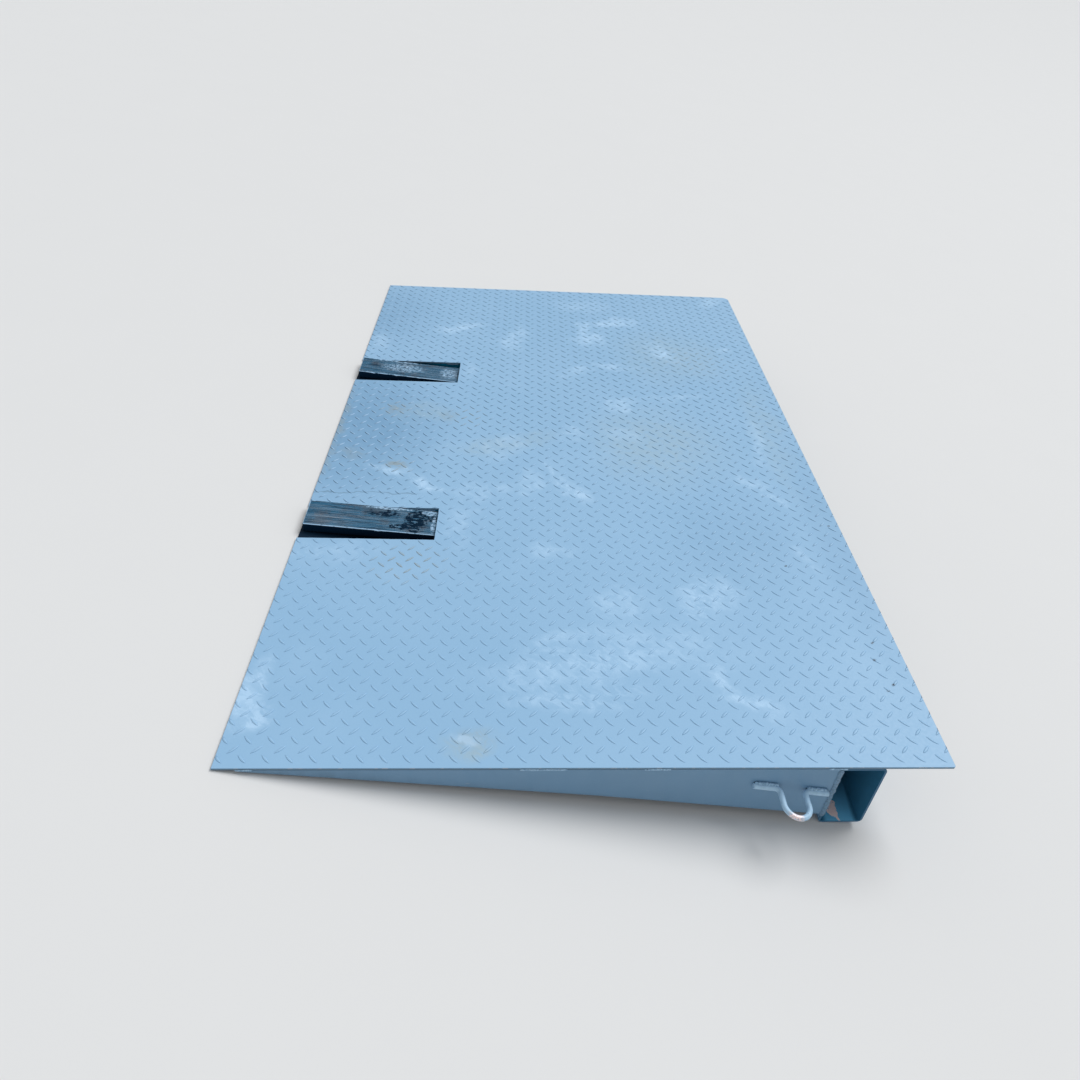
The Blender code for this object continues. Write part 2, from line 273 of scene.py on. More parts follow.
def rounded_rectangle(low, high, radius, steps, shoulder=0.0006):
    """A closed outline with four round corners, and a point on each flat just past a corner's end."""
    (x0, y0), (x1, y1) = low, high
    corners = (
        ((x1 - radius, y0 + radius), -90, (-shoulder, 0.0)),
        ((x1 - radius, y1 - radius), 0, (0.0, -shoulder)),
        ((x0 + radius, y1 - radius), 90, (shoulder, 0.0)),
        ((x0 + radius, y0 + radius), 180, (0.0, shoulder)),
    )
    points = []
    for centre, start, before in corners:
        turned = arc(centre, radius, start, start + 90, steps)
        after = (-before[1], before[0])
        points.append((turned[0][0] + before[0], turned[0][1] + before[1]))
        points += turned
        points.append((turned[-1][0] - after[0], turned[-1][1] - after[1]))
    return points


def skin(shape, first, second):
    """Faces between two closed rings of as many vertices."""
    return [
        shape.faces.new((first[i - 1], first[i], second[i], second[i - 1])) for i in range(len(first))
    ]


def loft(shape, rings, caps=(True, True)):
    """Skins a row of closed rings of points, and closes the ends that are asked for."""
    made = [[shape.verts.new(p) for p in ring] for ring in rings]
    for first, second in zip(made, made[1:]):
        skin(shape, first, second)
    if caps[0]:
        shape.faces.new(reversed(made[0]))
    if caps[1]:
        shape.faces.new(made[-1])


BEAD_STEP = 0.0012          # between a bead's sections
BEAD_SIDES = 10


def add_bead(shape, start, end, up, width, height, settings, seed):
    """A weld bead from start to end on a surface that faces up, rippled along its length."""
    start, end, up = Vector(start), Vector(end), Vector(up).normalized()
    along = end - start
    total = along.length
    along.normalize()
    side = along.cross(up)
    steps = max(8, round(total / BEAD_STEP))
    rings = []
    for i in range(steps + 1):
        s = total * i / steps
        wander = noise.noise(Vector((s * 90.0, seed * 7.3, 0.0)))
        bulge = 1.0 + settings.lump * wander
        phase = (s / settings.ripple + 0.6 * wander) % 1.0
        ripple = 1.0 - 0.16 * phase ** 2
        taper = math.sqrt(max(0.0, 1.0 - (1.0 - min(1.0, min(s, total - s) / width + 0.12)) ** 2))
        w = width / 2 * bulge * ripple * taper
        h = height * (0.75 + 0.25 * bulge) * ripple * taper
        drift = side * (settings.lump * width * 0.25 * noise.noise(Vector((s * 60.0, seed, 5.0))))
        centre = start + along * s + drift
        ring = []
        for k in range(BEAD_SIDES):
            angle = 2 * math.pi * k / BEAD_SIDES
            lift = math.sin(angle)
            lift = lift * h if lift > 0 else lift * 0.0008
            ring.append(centre + side * (w * math.cos(angle)) + up * lift)
        rings.append(ring)
    loft(shape, rings)


def add_sweep(shape, route, radius, sides, wobble, seed):
    """A round bar along a route, with slightly chamfered ends."""
    route = [Vector(p) for p in route]
    rings = []
    normal = Vector((0.0, 0.0, 1.0))
    for i, point in enumerate(route):
        before, after = route[max(i - 1, 0)], route[min(i + 1, len(route) - 1)]
        along = (after - before).normalized()
        across = along.cross(normal).normalized()
        over = across.cross(along).normalized()
        rings.append((point, along, across, over))
    first, last = rings[0], rings[-1]
    chamfer = radius * 0.12
    stations = [(first[0] - first[1] * chamfer, *first[1:], 0.86)]
    stations += [(*r, 1.0) for r in rings]
    stations += [(last[0] + last[1] * chamfer, *last[1:], 0.86)]
    made = []
    for n, (point, _, across, over, scale) in enumerate(stations):
        ring = []
        for k in range(sides):
            angle = 2 * math.pi * k / sides
            out = across * math.cos(angle) + over * math.sin(angle)
            rough = 1.0 + wobble * noise.noise(point * 160.0 + out * 2.0 + Vector((0.0, 0.0, seed)))
            ring.append(point + out * radius * scale * rough)
        made.append(ring)
    loft(shape, made)


# ---------------------------------------------------------------- material helpers

class Finish:
    """A procedural material on one Principled shader, laid out in the deck's frame."""

    def __init__(self, name, roughness=0.5, specular=0.5):
        self.material = bpy.data.materials.new(name)
        self.material.use_nodes = True
        self.tree = self.material.node_tree
        self.shader = self.tree.nodes["Principled BSDF"]
        self.shader.inputs["Roughness"].default_value = roughness
        self.shader.inputs["Specular IOR Level"].default_value = specular
        source = self.node("ShaderNodeTexCoord")
        self.ground = source.outputs["Object"]
        place = {"Location": TO_DECK.translation, "Rotation": TO_DECK.to_euler()}
        self.coords = self.node("ShaderNodeMapping", {"Vector": self.ground, **place}).outputs[0]
        self.normal = source.outputs["Normal"]
        self.upward = self.facing((0.0, 0.0, 1.0))
        self.bumps = None

    def node(self, kind, inputs=None, **values):
        """A new node with its values set and its inputs fed, each input by its name or number."""
        made = self.tree.nodes.new(kind)
        for key, value in values.items():
            setattr(made, key, value)
        for key, value in (inputs or {}).items():
            self.feed(made.inputs[key], value)
        return made

    def feed(self, socket, value):
        """Links an output to a socket, or sets the socket's value."""
        if isinstance(value, bpy.types.NodeSocket):
            self.tree.links.new(value, socket)
        elif hasattr(value, "__len__") and len(value) == 3 and len(socket.default_value) == 4:
            socket.default_value = (*value, 1.0)
        else:
            socket.default_value = value

    def math(self, operation, a, b=0.0, clamp=False):
        return self.node("ShaderNodeMath", {0: a, 1: b}, operation=operation, use_clamp=clamp).outputs[0]

    def times(self, first, *others):
        """The product of all the values."""
        for other in others:
            first = self.math("MULTIPLY", first, other)
        return first

    def plus(self, a, b):
        return self.math("ADD", a, b)

    def minus(self, a, b):
        return self.math("SUBTRACT", a, b)

    def vectors(self, operation, inputs, output="Vector"):
        """A sum on vectors, its inputs given by number or name."""
        return self.node("ShaderNodeVectorMath", inputs, operation=operation).outputs[output]

    def facing(self, direction):
        """How far the surface faces a direction given in the deck's frame, from -1 to 1."""
        turned = DECK.to_3x3() @ Vector(direction).normalized()
        return self.vectors("DOT_PRODUCT", {0: self.normal, 1: turned}, "Value")

    def stray(self, scale, reach):
        """The coordinates pushed about by a noise, so that masks drawn on them come out ragged."""
        push = self.node("ShaderNodeTexNoise", {"Vector": self.coords, "Scale": scale, "Detail": 5.0})
        centred = self.vectors("SUBTRACT", {0: push.outputs["Color"], 1: (0.5, 0.5, 0.5)})
        return self.vectors("ADD", {0: self.coords, 1: self.vectors("SCALE", {0: centred, "Scale": reach})})

    def scaled(self, scale, move=(0.0, 0.0, 0.0), turn=0.0, source=None):
        """The coordinates, or others given, moved, turned about z and scaled, in that order."""
        moved = self.vectors("SUBTRACT", {0: source or self.coords, 1: move})
        turned = self.node("ShaderNodeMapping", {"Vector": moved, "Rotation": (0.0, 0.0, turn)})
        return self.vectors("MULTIPLY", {0: turned.outputs[0], 1: scale})

    def noise(self, scale, detail=4.0, roughness=0.55, vector=None, distortion=0.0):
        made = self.node("ShaderNodeTexNoise", {
            "Vector": vector or self.coords, "Scale": scale, "Detail": detail,
            "Roughness": roughness, "Distortion": distortion,
        })
        return made.outputs["Fac"]

    def ramp(self, value, low, high, to_low=0.0, to_high=1.0):
        """value rescaled smoothly from low..high, and held there beyond."""
        limits = {"From Min": low, "From Max": high, "To Min": to_low, "To Max": to_high}
        made = self.node("ShaderNodeMapRange", {"Value": value, **limits}, interpolation_type="SMOOTHSTEP")
        return made.outputs["Result"]

    def mix(self, amount, under, over):
        """The colour over laid on under by amount."""
        return self.node("ShaderNodeMix", {"Factor": amount, 6: under, 7: over}, data_type="RGBA").outputs[2]

    def axis(self, vector, name):
        """One of a vector's coordinates, X, Y or Z."""
        return self.node("ShaderNodeSeparateXYZ", {0: vector}).outputs[name]

    def patches(self, rows, across, source=None):
        """The strongest of several ellipses that fade towards their rims, with y counted from across."""
        total = None
        for x, y, half_length, half_width, turn, strength in rows:
            stretch = (1 / half_length, 1 / half_width, 0.0)
            vector = self.scaled(stretch, (x, y + across, 0.0), -math.radians(turn), source)
            inside = self.ramp(self.vectors("LENGTH", {0: vector}, "Value"), 1.0, 0.15)
            one = self.times(inside, strength)
            total = one if total is None else self.math("MAXIMUM", total, one)
        return total

    def bump(self, height, distance, strength=1.0):
        """Adds a layer of relief."""
        made = self.node("ShaderNodeBump", {"Height": height, "Distance": distance, "Strength": strength})
        if self.bumps:
            self.feed(made.inputs["Normal"], self.bumps)
        self.bumps = made.outputs["Normal"]
        self.feed(self.shader.inputs["Normal"], self.bumps)

    def done(self, base, roughness=None, metallic=None):
        """Feeds the shader's colour, and its roughness and metal where given, and returns the material."""
        self.feed(self.shader.inputs["Base Color"], base)
        if roughness is not None:
            self.feed(self.shader.inputs["Roughness"], roughness)
        if metallic is not None:
            self.feed(self.shader.inputs["Metallic"], metallic)
        return self.material


# ---------------------------------------------------------------- finishes

NEAR_EDGE = -HALF_WIDTH
DUST_PATCHES = (        # (x, y from the near edge, half length, half width, turn in degrees, strength)
    (0.485, 0.078, 0.035, 0.025, 0, 0.95),
    (0.022, 0.180, 0.055, 0.145, 0, 0.90),
    (0.050, 0.110, 0.035, 0.065, -30, 0.90),
    (0.090, 0.650, 0.195, 0.080, 0, 0.30),
    (0.790, 0.270, 0.405, 0.080, 6, 0.55),
    (0.720, 0.185, 0.220, 0.045, 2, 0.55),
    (0.700, 0.345, 0.160, 0.050, 18, 0.50),
    (0.900, 0.330, 0.315, 0.115, 0, 0.35),
    (0.850, 0.470, 0.100, 0.090, 0, 0.40),
    (1.060, 0.485, 0.105, 0.135, -25, 0.75),
    (1.055, 0.235, 0.030, 0.090, 25, 0.80),
    (1.110, 0.160, 0.105, 0.040, -8, 0.80),
    (0.680, 0.675, 0.105, 0.060, 10, 0.50),
    (0.430, 0.760, 0.060, 0.155, -8, 0.35),
    (0.470, 0.940, 0.135, 0.065, 0, 0.40),
    (0.620, 0.960, 0.075, 0.065, 0, 0.40),
    (0.190, 1.035, 0.110, 0.030, -14, 0.70),
    (0.315, 0.965, 0.090, 0.040, -48, 0.90),
    (0.690, 1.040, 0.025, 0.065, 0, 0.50),
    (0.738, 0.945, 0.110, 0.040, -62, 0.90),
    (1.290, 0.985, 0.085, 0.045, -10, 0.55),
    (1.355, 0.925, 0.100, 0.040, -55, 0.70),
    (1.360, 0.655, 0.090, 0.035, -60, 0.55),
    (1.365, 1.230, 0.045, 0.195, 0, 0.50),
    (0.530, 1.160, 0.100, 0.080, 32, 0.40),
    (0.750, 1.265, 0.050, 0.080, 0, 0.40),
    (0.920, 1.255, 0.100, 0.060, 0, 0.35),
    (0.920, 1.455, 0.110, 0.050, 22, 0.55),
    (1.120, 1.520, 0.160, 0.040, 8, 0.45),
    (0.780, 1.680, 0.110, 0.045, 25, 0.45),
    (0.930, 1.735, 0.160, 0.045, -4, 0.55),
    (1.130, 1.870, 0.075, 0.130, 25, 0.80),
    (1.360, 1.890, 0.050, 0.035, -30, 0.75),
    (0.560, 1.940, 0.075, 0.145, -8, 0.65),
    (0.850, 1.960, 0.120, 0.090, 25, 0.80),
    (0.830, 2.060, 0.055, 0.105, 0, 0.70),
    (0.955, 2.130, 0.135, 0.065, 14, 0.85),
    (0.330, 2.035, 0.145, 0.055, 20, 0.75),
    (0.020, 1.870, 0.075, 0.105, -40, 0.55),
    (0.400, 1.680, 0.055, 0.090, 0, 0.35),
    (0.830, 2.290, 0.185, 0.115, 0, 0.35),
    (1.420, 2.400, 0.100, 0.045, 45, 0.55),
)
OCHRE_PATCHES = (
    (0.165, 1.385, 0.045, 0.050, 0, 0.45),
    (0.215, 1.060, 0.045, 0.036, 0, 0.80),
    (0.345, 1.350, 0.050, 0.050, 0, 0.30),
    (0.070, 1.110, 0.060, 0.050, 0, 0.35),
    (0.500, 0.067, 0.066, 0.044, 0, 0.24),
    (0.000, 1.250, 0.030, 0.400, 0, 0.55),
)
CLAY_PATCHES = (
    (0.500, 0.067, 0.090, 0.060, 0, 0.80),
    (0.540, 1.190, 0.230, 0.085, 14, 0.58),
    (0.270, 1.370, 0.130, 0.100, 0, 0.50),
    (1.020, 1.200, 0.300, 0.330, 0, 0.58),
    (1.150, 1.850, 0.280, 0.300, 0, 0.50),
    (1.420, 1.300, 0.080, 0.500, 0, 0.40),
)
LODGED_DIRT = (
    (0.300, 0.610, 0.150, 0.110, 10, 1.00),
    (0.410, 1.340, 0.090, 0.110, 0, 0.70),
    (0.165, 1.385, 0.090, 0.080, 0, 0.80),
    (0.220, 1.050, 0.080, 0.060, 0, 0.80),
    (1.250, 1.800, 0.200, 0.150, 0, 0.40),
)
GRIME_PATCHES = (
    (0.020, 1.260, 0.420, 0.560, 0, 0.86),
    (0.000, 2.150, 0.330, 0.420, 0, 0.48),
    (1.470, 0.700, 0.100, 0.650, 0, 0.26),
    (1.180, 0.700, 0.250, 0.300, 0, 0.20),
)
SPECKS = ((1.442, 0.345), (1.428, 0.200), (1.446, 0.216), (1.428, 0.291), (1.470, 0.795), (1.300, 0.620))


def deck_finish(colours):
    """Faded blue paint under dust, yellow dirt and rust specks, chipped at its edges, with painted shade on
    its cut edges and round its lozenges, and a painted highlight on their windward flanks.
    """
    f = Finish("deck_paint_dusty_and_shaded", specular=0.35)
    height = f.axis(f.coords, "Z")
    clouds = f.noise(9.0, 7.0, 0.66, distortion=0.4)
    wisps = f.noise(26.0, 7.0, 0.72, f.scaled((1.0, 1.9, 1.0), turn=math.radians(35)), 0.8)
    fine = f.noise(140.0, 3.0)
    base = f.mix(f.ramp(f.noise(1.6, 3.0), 0.3, 0.7, 0.0, 0.12), colours.deck_paint, colours.dust)
    grime = f.patches(GRIME_PATCHES, NEAR_EDGE)
    grime = f.times(grime, f.ramp(clouds, 0.2, 0.8, 0.6, 1.0))
    base = f.mix(grime, base, colours.deck_shade)
    clay = f.patches(CLAY_PATCHES, NEAR_EDGE, f.stray(6.0, 0.2))
    base = f.mix(f.times(clay, f.ramp(wisps, 0.35, 0.65, 0.30, 1.0)), base, colours.clay)
    dust = settled_dust(f, height, clouds, wisps)
    base = f.mix(dust, base, colours.dust)
    stains = f.patches(OCHRE_PATCHES, NEAR_EDGE, f.stray(14.0, 0.07))
    base = f.mix(f.times(stains, f.ramp(wisps, 0.35, 0.58)), base, colours.ochre)
    base = lozenge_dirt_shade_and_highlight(f, base, colours, height, grime)
    spots = [(x, y, 0.007, 0.005, 35, 1.0) for x, y in SPECKS]
    rusty = f.times(f.patches(spots, NEAR_EDGE), f.ramp(fine, 0.35, 0.6))
    base = f.mix(rusty, base, colours.rust)
    base = f.mix(wavy_dark_line(f), base, colours.frame_grime_and_shade)
    # Painted shade on the plate's cut edges below its top face.
    base = f.mix(f.ramp(height, -0.0006, -0.0020, 0.0, 0.90), base, colours.frame_grime_and_shade)
    base = f.mix(edge_chips(f, height), base, colours.bare)
    f.bump(f.noise(3.0, 2.0), 0.004, 0.25)
    f.bump(f.noise(700.0, 2.0), 0.0002, 0.35)
    f.bump(clouds, 0.0006, 0.3)
    rough = f.plus(f.ramp(dust, 0.0, 1.0, 0.46, 0.72), f.ramp(fine, 0.3, 0.7, -0.04, 0.06))
    return f.done(base, rough)


def settled_dust(f, height, clouds, wisps):
    """How much dust lies on the deck: thin all over, thick in ragged patches between the lozenges."""
    cover = f.patches(DUST_PATCHES, NEAR_EDGE, f.stray(8.0, 0.16))
    broken = f.plus(f.ramp(clouds, 0.36, 0.60, 0.10, 0.80), f.ramp(wisps, 0.44, 0.62, -0.06, 0.80))
    between = f.ramp(height, 0.0009, 0.0003, 0.35, 1.0)
    thick = f.math("MULTIPLY", f.times(cover, broken), between, clamp=True)
    thin = f.ramp(f.noise(4.0, 6.0, 0.6), 0.5, 0.8, 0.0, 0.16)
    return f.math("MAXIMUM", thick, thin)


def lozenge_dirt_shade_and_highlight(f, base, colours, height, grime):
    """Painted shade round the lozenges' feet and, more of it far from the near edge, on their lee side; a
    painted highlight on their windward flanks; rubbed crests; and lodged dirt.
    """
    # Painted shade on the lozenges' slanted flanks near their feet.
    slanted = f.times(f.ramp(f.upward, 0.990, 0.92), f.ramp(height, 0.0008, 0.0001))
    base = f.mix(f.times(slanted, 0.32), base, colours.foot_shade)
    far = f.ramp(f.axis(f.coords, "Y"), -0.9, 0.2, 0.0, 0.65)
    far = f.plus(far, grime)
    # Painted shade on the lozenges' lee side, stronger far from the near edge and in the grimy patches.
    lee_shade = f.times(f.ramp(f.facing((-1.0, -1.0, 0.0)), 0.01, 0.10), f.ramp(height, 0.0014, 0.0007))
    base = f.mix(f.math("MULTIPLY", far, lee_shade, clamp=True), base, colours.foot_shade)
    # Painted highlight: the lozenges' flanks that face +x and -y are lightened in the dust colour, in the
    # grimy patches.
    windward_highlight = f.times(f.ramp(f.facing((1.0, -1.0, 0.0)), 0.03, 0.16), grime)
    base = f.mix(f.times(windward_highlight, 0.8), base, colours.dust)
    rubbed = f.plus(f.times(grime, 0.5), 0.08)
    crest = f.times(f.ramp(height, 0.0006, 0.0010), rubbed)
    base = f.mix(crest, base, colours.dust)
    lodged = f.times(f.patches(LODGED_DIRT, NEAR_EDGE), f.ramp(f.upward, 0.999, 0.97))
    return f.mix(f.times(lodged, 0.8), base, colours.ochre)


def edge_chips(f, height):
    """Bright chips along the plate's upper arris."""
    arris = f.times(f.ramp(height, -0.0001, -0.0004), f.ramp(height, -0.0016, -0.0010))
    return f.times(arris, f.ramp(f.noise(55.0, 4.0), 0.52, 0.60))


def wavy_dark_line(f):
    """The wavy dark line that runs up from the low edge beside the near slot."""
    start = slot_edges("near")[1] + 0.068
    wave = f.times(f.minus(f.noise(20.0, 3.0), 0.5), 0.038)
    away = f.math("ABSOLUTE", f.minus(f.axis(f.coords, "Y"), f.plus(wave, start)))
    along = f.ramp(f.axis(f.coords, "X"), 0.310, 0.270)
    return f.times(f.ramp(away, 0.0036, 0.0008, 0.0, 0.45), along)


def frame_finish(colours):
    """Satin paint on the plates, dirtier low down, with a few scrapes."""
    f = Finish("frame_paint_satin")
    broad = f.noise(3.0, 4.0)
    streaks = f.noise(26.0, 5.0, 0.6, f.scaled((1.0, 1.0, 0.25)))
    base = f.mix(f.ramp(broad, 0.35, 0.7, 0.0, 0.16), colours.frame_paint, colours.frame_grime_and_shade)
    low = f.ramp(f.axis(f.ground, "Z"), 0.045, 0.0)
    base = f.mix(f.times(low, f.ramp(streaks, 0.35, 0.65, 0.10, 0.60)), base, colours.frame_grime_and_shade)
    scrape = f.noise(60.0, 3.0, 0.6, f.scaled((0.35, 1.0, 3.0)))
    base = f.mix(f.ramp(scrape, 0.75, 0.81, 0.0, 0.5), base, colours.bare)
    f.bump(f.noise(8.0, 3.0), 0.002, 0.2)
    f.bump(f.noise(420.0, 2.0), 0.0003, 0.35)
    return f.done(base, f.ramp(streaks, 0.3, 0.7, 0.42, 0.58))


def beam_finish(colours):
    """The frame's paint, with painted light on the bore's floor at its mouth and painted shade deeper inside
    the beam, up its walls, in its corners and on its cut ends, and a torn patch of primer inside its near
    end.
    """
    f = Finish("beam_paint_with_bore_light_and_shade", specular=0.12)
    x, y, z = (f.axis(f.coords, name) for name in "XYZ")
    low, high = deck_box("high_beam")
    broad = f.noise(3.0, 4.0)
    base = f.mix(f.ramp(broad, 0.35, 0.7, 0.0, 0.16), colours.frame_paint, colours.frame_grime_and_shade)
    from_sides = f.math("MINIMUM", f.minus(x, low.x), f.minus(high.x, x))
    from_mouth = f.minus(high.y, f.math("ABSOLUTE", y))
    # Painted shade: darker deeper from the mouth, up the walls and into the bottom corners; painted light
    # where it is least.
    deep_shade = f.ramp(from_mouth, 0.0, 0.170)
    wall_shade = f.ramp(z, low.z + 0.008, low.z + 0.035, 0.0, 0.80)
    corner_shade = f.ramp(from_sides, 0.024, 0.010, 0.0, 0.80)
    shaded = f.math("MAXIMUM", deep_shade, f.math("MAXIMUM", wall_shade, corner_shade))
    bore = f.mix(shaded, colours.bore_lit_paint, colours.bore_shade)
    from_floor = f.math("MINIMUM", f.minus(z, low.z), f.minus(high.z, z))
    depth = f.math("MINIMUM", from_sides, from_floor)
    base = f.mix(f.math("GREATER_THAN", depth, 0.0045), base, bore)
    # Painted shade on the beam's cut ends.
    base = f.mix(f.times(f.math("LESS_THAN", from_mouth, 0.0012), 0.55), base, colours.bore_shade)
    base = f.mix(torn_patch(f, x, y, z, low), base, colours.primer)
    f.bump(f.noise(6.0, 3.0), 0.002, 0.2)
    f.bump(f.noise(420.0, 2.0), 0.0003, 0.35)
    return f.done(base, f.ramp(broad, 0.3, 0.7, 0.42, 0.56))


def torn_patch(f, x, y, z, low):
    """A ragged triangle on the beam's floor at its near end, broken by darker spots."""
    ragged = f.times(f.minus(f.noise(90.0, 4.0, 0.7), 0.5), 0.020)
    reach = f.plus(f.minus(y, low.y), ragged)
    across = f.plus(f.minus(x, low.x), ragged)
    right = f.math("LESS_THAN", f.minus(across, f.times(reach, 0.02)), 0.050)
    far = f.math("LESS_THAN", reach, 0.050)
    left = f.math("GREATER_THAN", reach, f.minus(0.046, f.times(across, 0.95)))
    triangle = f.times(right, far, left)
    above = f.math("GREATER_THAN", z, low.z + 0.0045)
    on_floor = f.times(f.math("LESS_THAN", z, low.z + 0.010), above)
    whole = f.ramp(f.noise(140.0, 2.0), 0.30, 0.36, 0.15, 1.0)
    return f.times(triangle, on_floor, whole)


def pocket_finish(colours):
    """Painted shade in the fork pockets: dark paint low on the slope, darker towards the ground, with dirty
    blotches and scrapes.
    """
    f = Finish("pocket_paint_dirty_and_shaded", roughness=0.7, specular=0.15)
    blotch = f.noise(18.0, 6.0, 0.65)
    scrape = f.noise(40.0, 4.0, 0.6, f.scaled((0.12, 1.0, 1.0)))
    # Painted shade: darker towards the ground.
    low = f.ramp(f.axis(f.ground, "Z"), 0.045, 0.020)
    # Painted shade: the dark pocket colour low on the slope, the frame's paint beyond.
    base = f.mix(f.ramp(f.axis(f.coords, "X"), 0.38, 0.50), colours.pocket_paint, colours.frame_paint)
    base = f.mix(f.ramp(blotch, 0.4, 0.7, 0.0, 0.5), base, colours.bar_grease_and_shade)
    base = f.mix(low, base, colours.bar_grease_and_shade)
    base = f.mix(f.ramp(scrape, 0.62, 0.75, 0.0, 0.25), base, colours.bar_steel)
    f.bump(blotch, 0.0008, 0.5)
    return f.done(base, f.ramp(blotch, 0.3, 0.7, 0.55, 0.8))


def eye_finish(colours):
    """The eye's paint, rubbed through to bright and pinkish steel round the nose."""
    f = Finish("eye_paint_worn")
    low, high = deck_box("lashing_eye_near")
    out = f.math("ABSOLUTE", f.axis(f.coords, "Y"))
    edge = f.noise(150.0, 5.0, 0.65)
    reach = f.plus(out, f.ramp(edge, 0.3, 0.7, -0.006, 0.006))
    worn = f.ramp(reach, -low.y - 0.017, -low.y - 0.011)
    middle = (low.x + high.x) / 2 - 0.006
    beside = f.ramp(f.math("ABSOLUTE", f.minus(f.axis(f.coords, "X"), middle)), 0.020, 0.010)
    worn = f.times(worn, beside)
    base = f.mix(f.ramp(f.noise(60.0, 4.0), 0.4, 0.7, 0.0, 0.3), colours.bead_paint, colours.frame_paint)
    bare = f.mix(f.ramp(edge, 0.42, 0.58), colours.primer, colours.bare)
    base = f.mix(f.times(worn, f.ramp(f.noise(240.0, 3.0), 0.32, 0.45, 0.2, 1.0)), base, bare)
    chips = f.ramp(f.noise(260.0, 3.0), 0.70, 0.74, 0.0, 0.8)
    base = f.mix(chips, base, colours.rust)
    f.bump(f.noise(300.0, 3.0), 0.0003, 0.4)
    return f.done(base, f.ramp(edge, 0.3, 0.7, 0.36, 0.55), f.times(worn, 0.3))


def bead_finish(colours, name, paint, shade):
    """Paint over weld beads, mottled with a darker colour, with specks of rust."""
    f = Finish(name)
    blotch = f.noise(220.0, 4.0)
    base = f.mix(f.ramp(blotch, 0.34, 0.62, 0.1, 0.8), paint, shade)
    specks = f.ramp(f.noise(300.0, 3.0), 0.66, 0.70, 0.0, 0.8)
    base = f.mix(specks, base, colours.rust)
    f.bump(blotch, 0.0004, 0.6)
    return f.done(base, f.ramp(blotch, 0.3, 0.7, 0.42, 0.62))


BAR_BLOTCHES = {        # as the deck's patches, but y from the bar's middle
    "near": (
        (0.305, 0.004, 0.044, 0.050, 0, 1.00),
        (0.285, -0.028, 0.050, 0.022, 0, 0.80),
        (0.250, -0.030, 0.030, 0.020, 0, 0.60),
        (0.215, 0.020, 0.090, 0.030, 0, 0.25),
        (0.350, 0.020, 0.016, 0.020, 0, 0.80),
    ),
    "far": (
        (0.060, 0.005, 0.060, 0.050, 0, 0.18),
    ),
}
BAR_SCUFFS = {
    "near": (
        (0.225, 0.047, 0.085, 0.009, 0, 1.00),
        (0.340, 0.040, 0.034, 0.014, 0, 0.90),
        (0.352, -0.010, 0.012, 0.060, 0, 0.55),
        (0.090, 0.030, 0.110, 0.030, 0, 0.14),
    ),
    "far": (
        (0.160, 0.005, 0.140, 0.060, 0, 0.34),
        (0.320, 0.000, 0.060, 0.070, 0, 0.36),
        (0.130, 0.049, 0.120, 0.008, 0, 0.80),
    ),
}


def bar_finish(colours, side):
    """Worn steel: lengthwise scratches, rust film, grease, painted shade on the sides and rubbed edges."""
    f = Finish(f"bar_steel_{side}", specular=0.06)
    low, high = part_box(f"slot_bar_{side}")
    middle = (low.y + high.y) / 2
    streak = f.noise(1.0, 6.0, 0.65, f.scaled((11.0, 130.0, 0.0)))
    scratch = f.noise(1.0, 4.0, 0.75, f.scaled((7.0, 620.0, 0.0)))
    hairs = f.noise(1.0, 2.0, 0.5, f.scaled((5.0, 1500.0, 0.0), turn=math.radians(0.6)))
    cloud = f.noise(16.0, 6.0, 0.65)
    base = f.mix(f.ramp(cloud, 0.48, 0.64), colours.bar_steel, colours.bar_brown)
    base = f.mix(f.ramp(streak, 0.47, 0.58, 0.0, 0.70), base, colours.bar_grease_and_shade)
    base = f.mix(f.ramp(scratch, 0.50, 0.62, 0.0, 0.80), base, colours.bar_pale)
    base = f.mix(f.ramp(hairs, 0.58, 0.66, 0.0, 0.60), base, colours.bare)
    islands = f.noise(1.0, 6.0, 0.7, f.scaled((75.0, 120.0, 0.0)))
    dark = f.times(f.patches(BAR_BLOTCHES[side], middle, f.stray(45.0, 0.05)), f.ramp(islands, 0.44, 0.49))
    base = f.mix(f.ramp(dark, 0.10, 0.22), base, colours.bar_grease_and_shade)
    flecks = f.noise(1.0, 5.0, 0.7, f.scaled((90.0, 220.0, 0.0)))
    pale = f.times(f.patches(BAR_SCUFFS[side], middle, f.stray(60.0, 0.008)), f.ramp(flecks, 0.46, 0.54))
    base = f.mix(f.ramp(pale, 0.10, 0.35, 0.0, 0.75), base, colours.dust)
    # Painted shade on the bars' sides, the faces turned away from up.
    base = f.mix(f.ramp(f.upward, 0.75, 0.25), base, colours.bar_grease_and_shade)
    arris = f.times(f.ramp(f.upward, 0.985, 0.94), f.ramp(f.upward, 0.35, 0.6))
    rubbed = f.times(arris, f.ramp(f.noise(60.0, 3.0), 0.32, 0.45))
    base = f.mix(rubbed, base, colours.dust)
    f.bump(streak, 0.0006, 0.5)
    f.bump(scratch, 0.0002, 0.4)
    metal = f.times(f.ramp(f.upward, 0.3, 0.8), f.ramp(dark, 0.0, 0.2, 0.12, 0.0))
    return f.done(base, f.ramp(streak, 0.3, 0.7, 0.62, 0.85), metal)


def floor_finish(colours):
    """A plain pale floor with the faintest mottle."""
    f = Finish("floor_pale", roughness=0.8)
    darker = tuple(c * 0.985 for c in colours.floor)
    return f.done(f.mix(f.noise(3.0, 3.0), colours.floor, darker))


# ---------------------------------------------------------------- the deck

WAVY_STEP = 0.006           # between points along a hand-cut edge


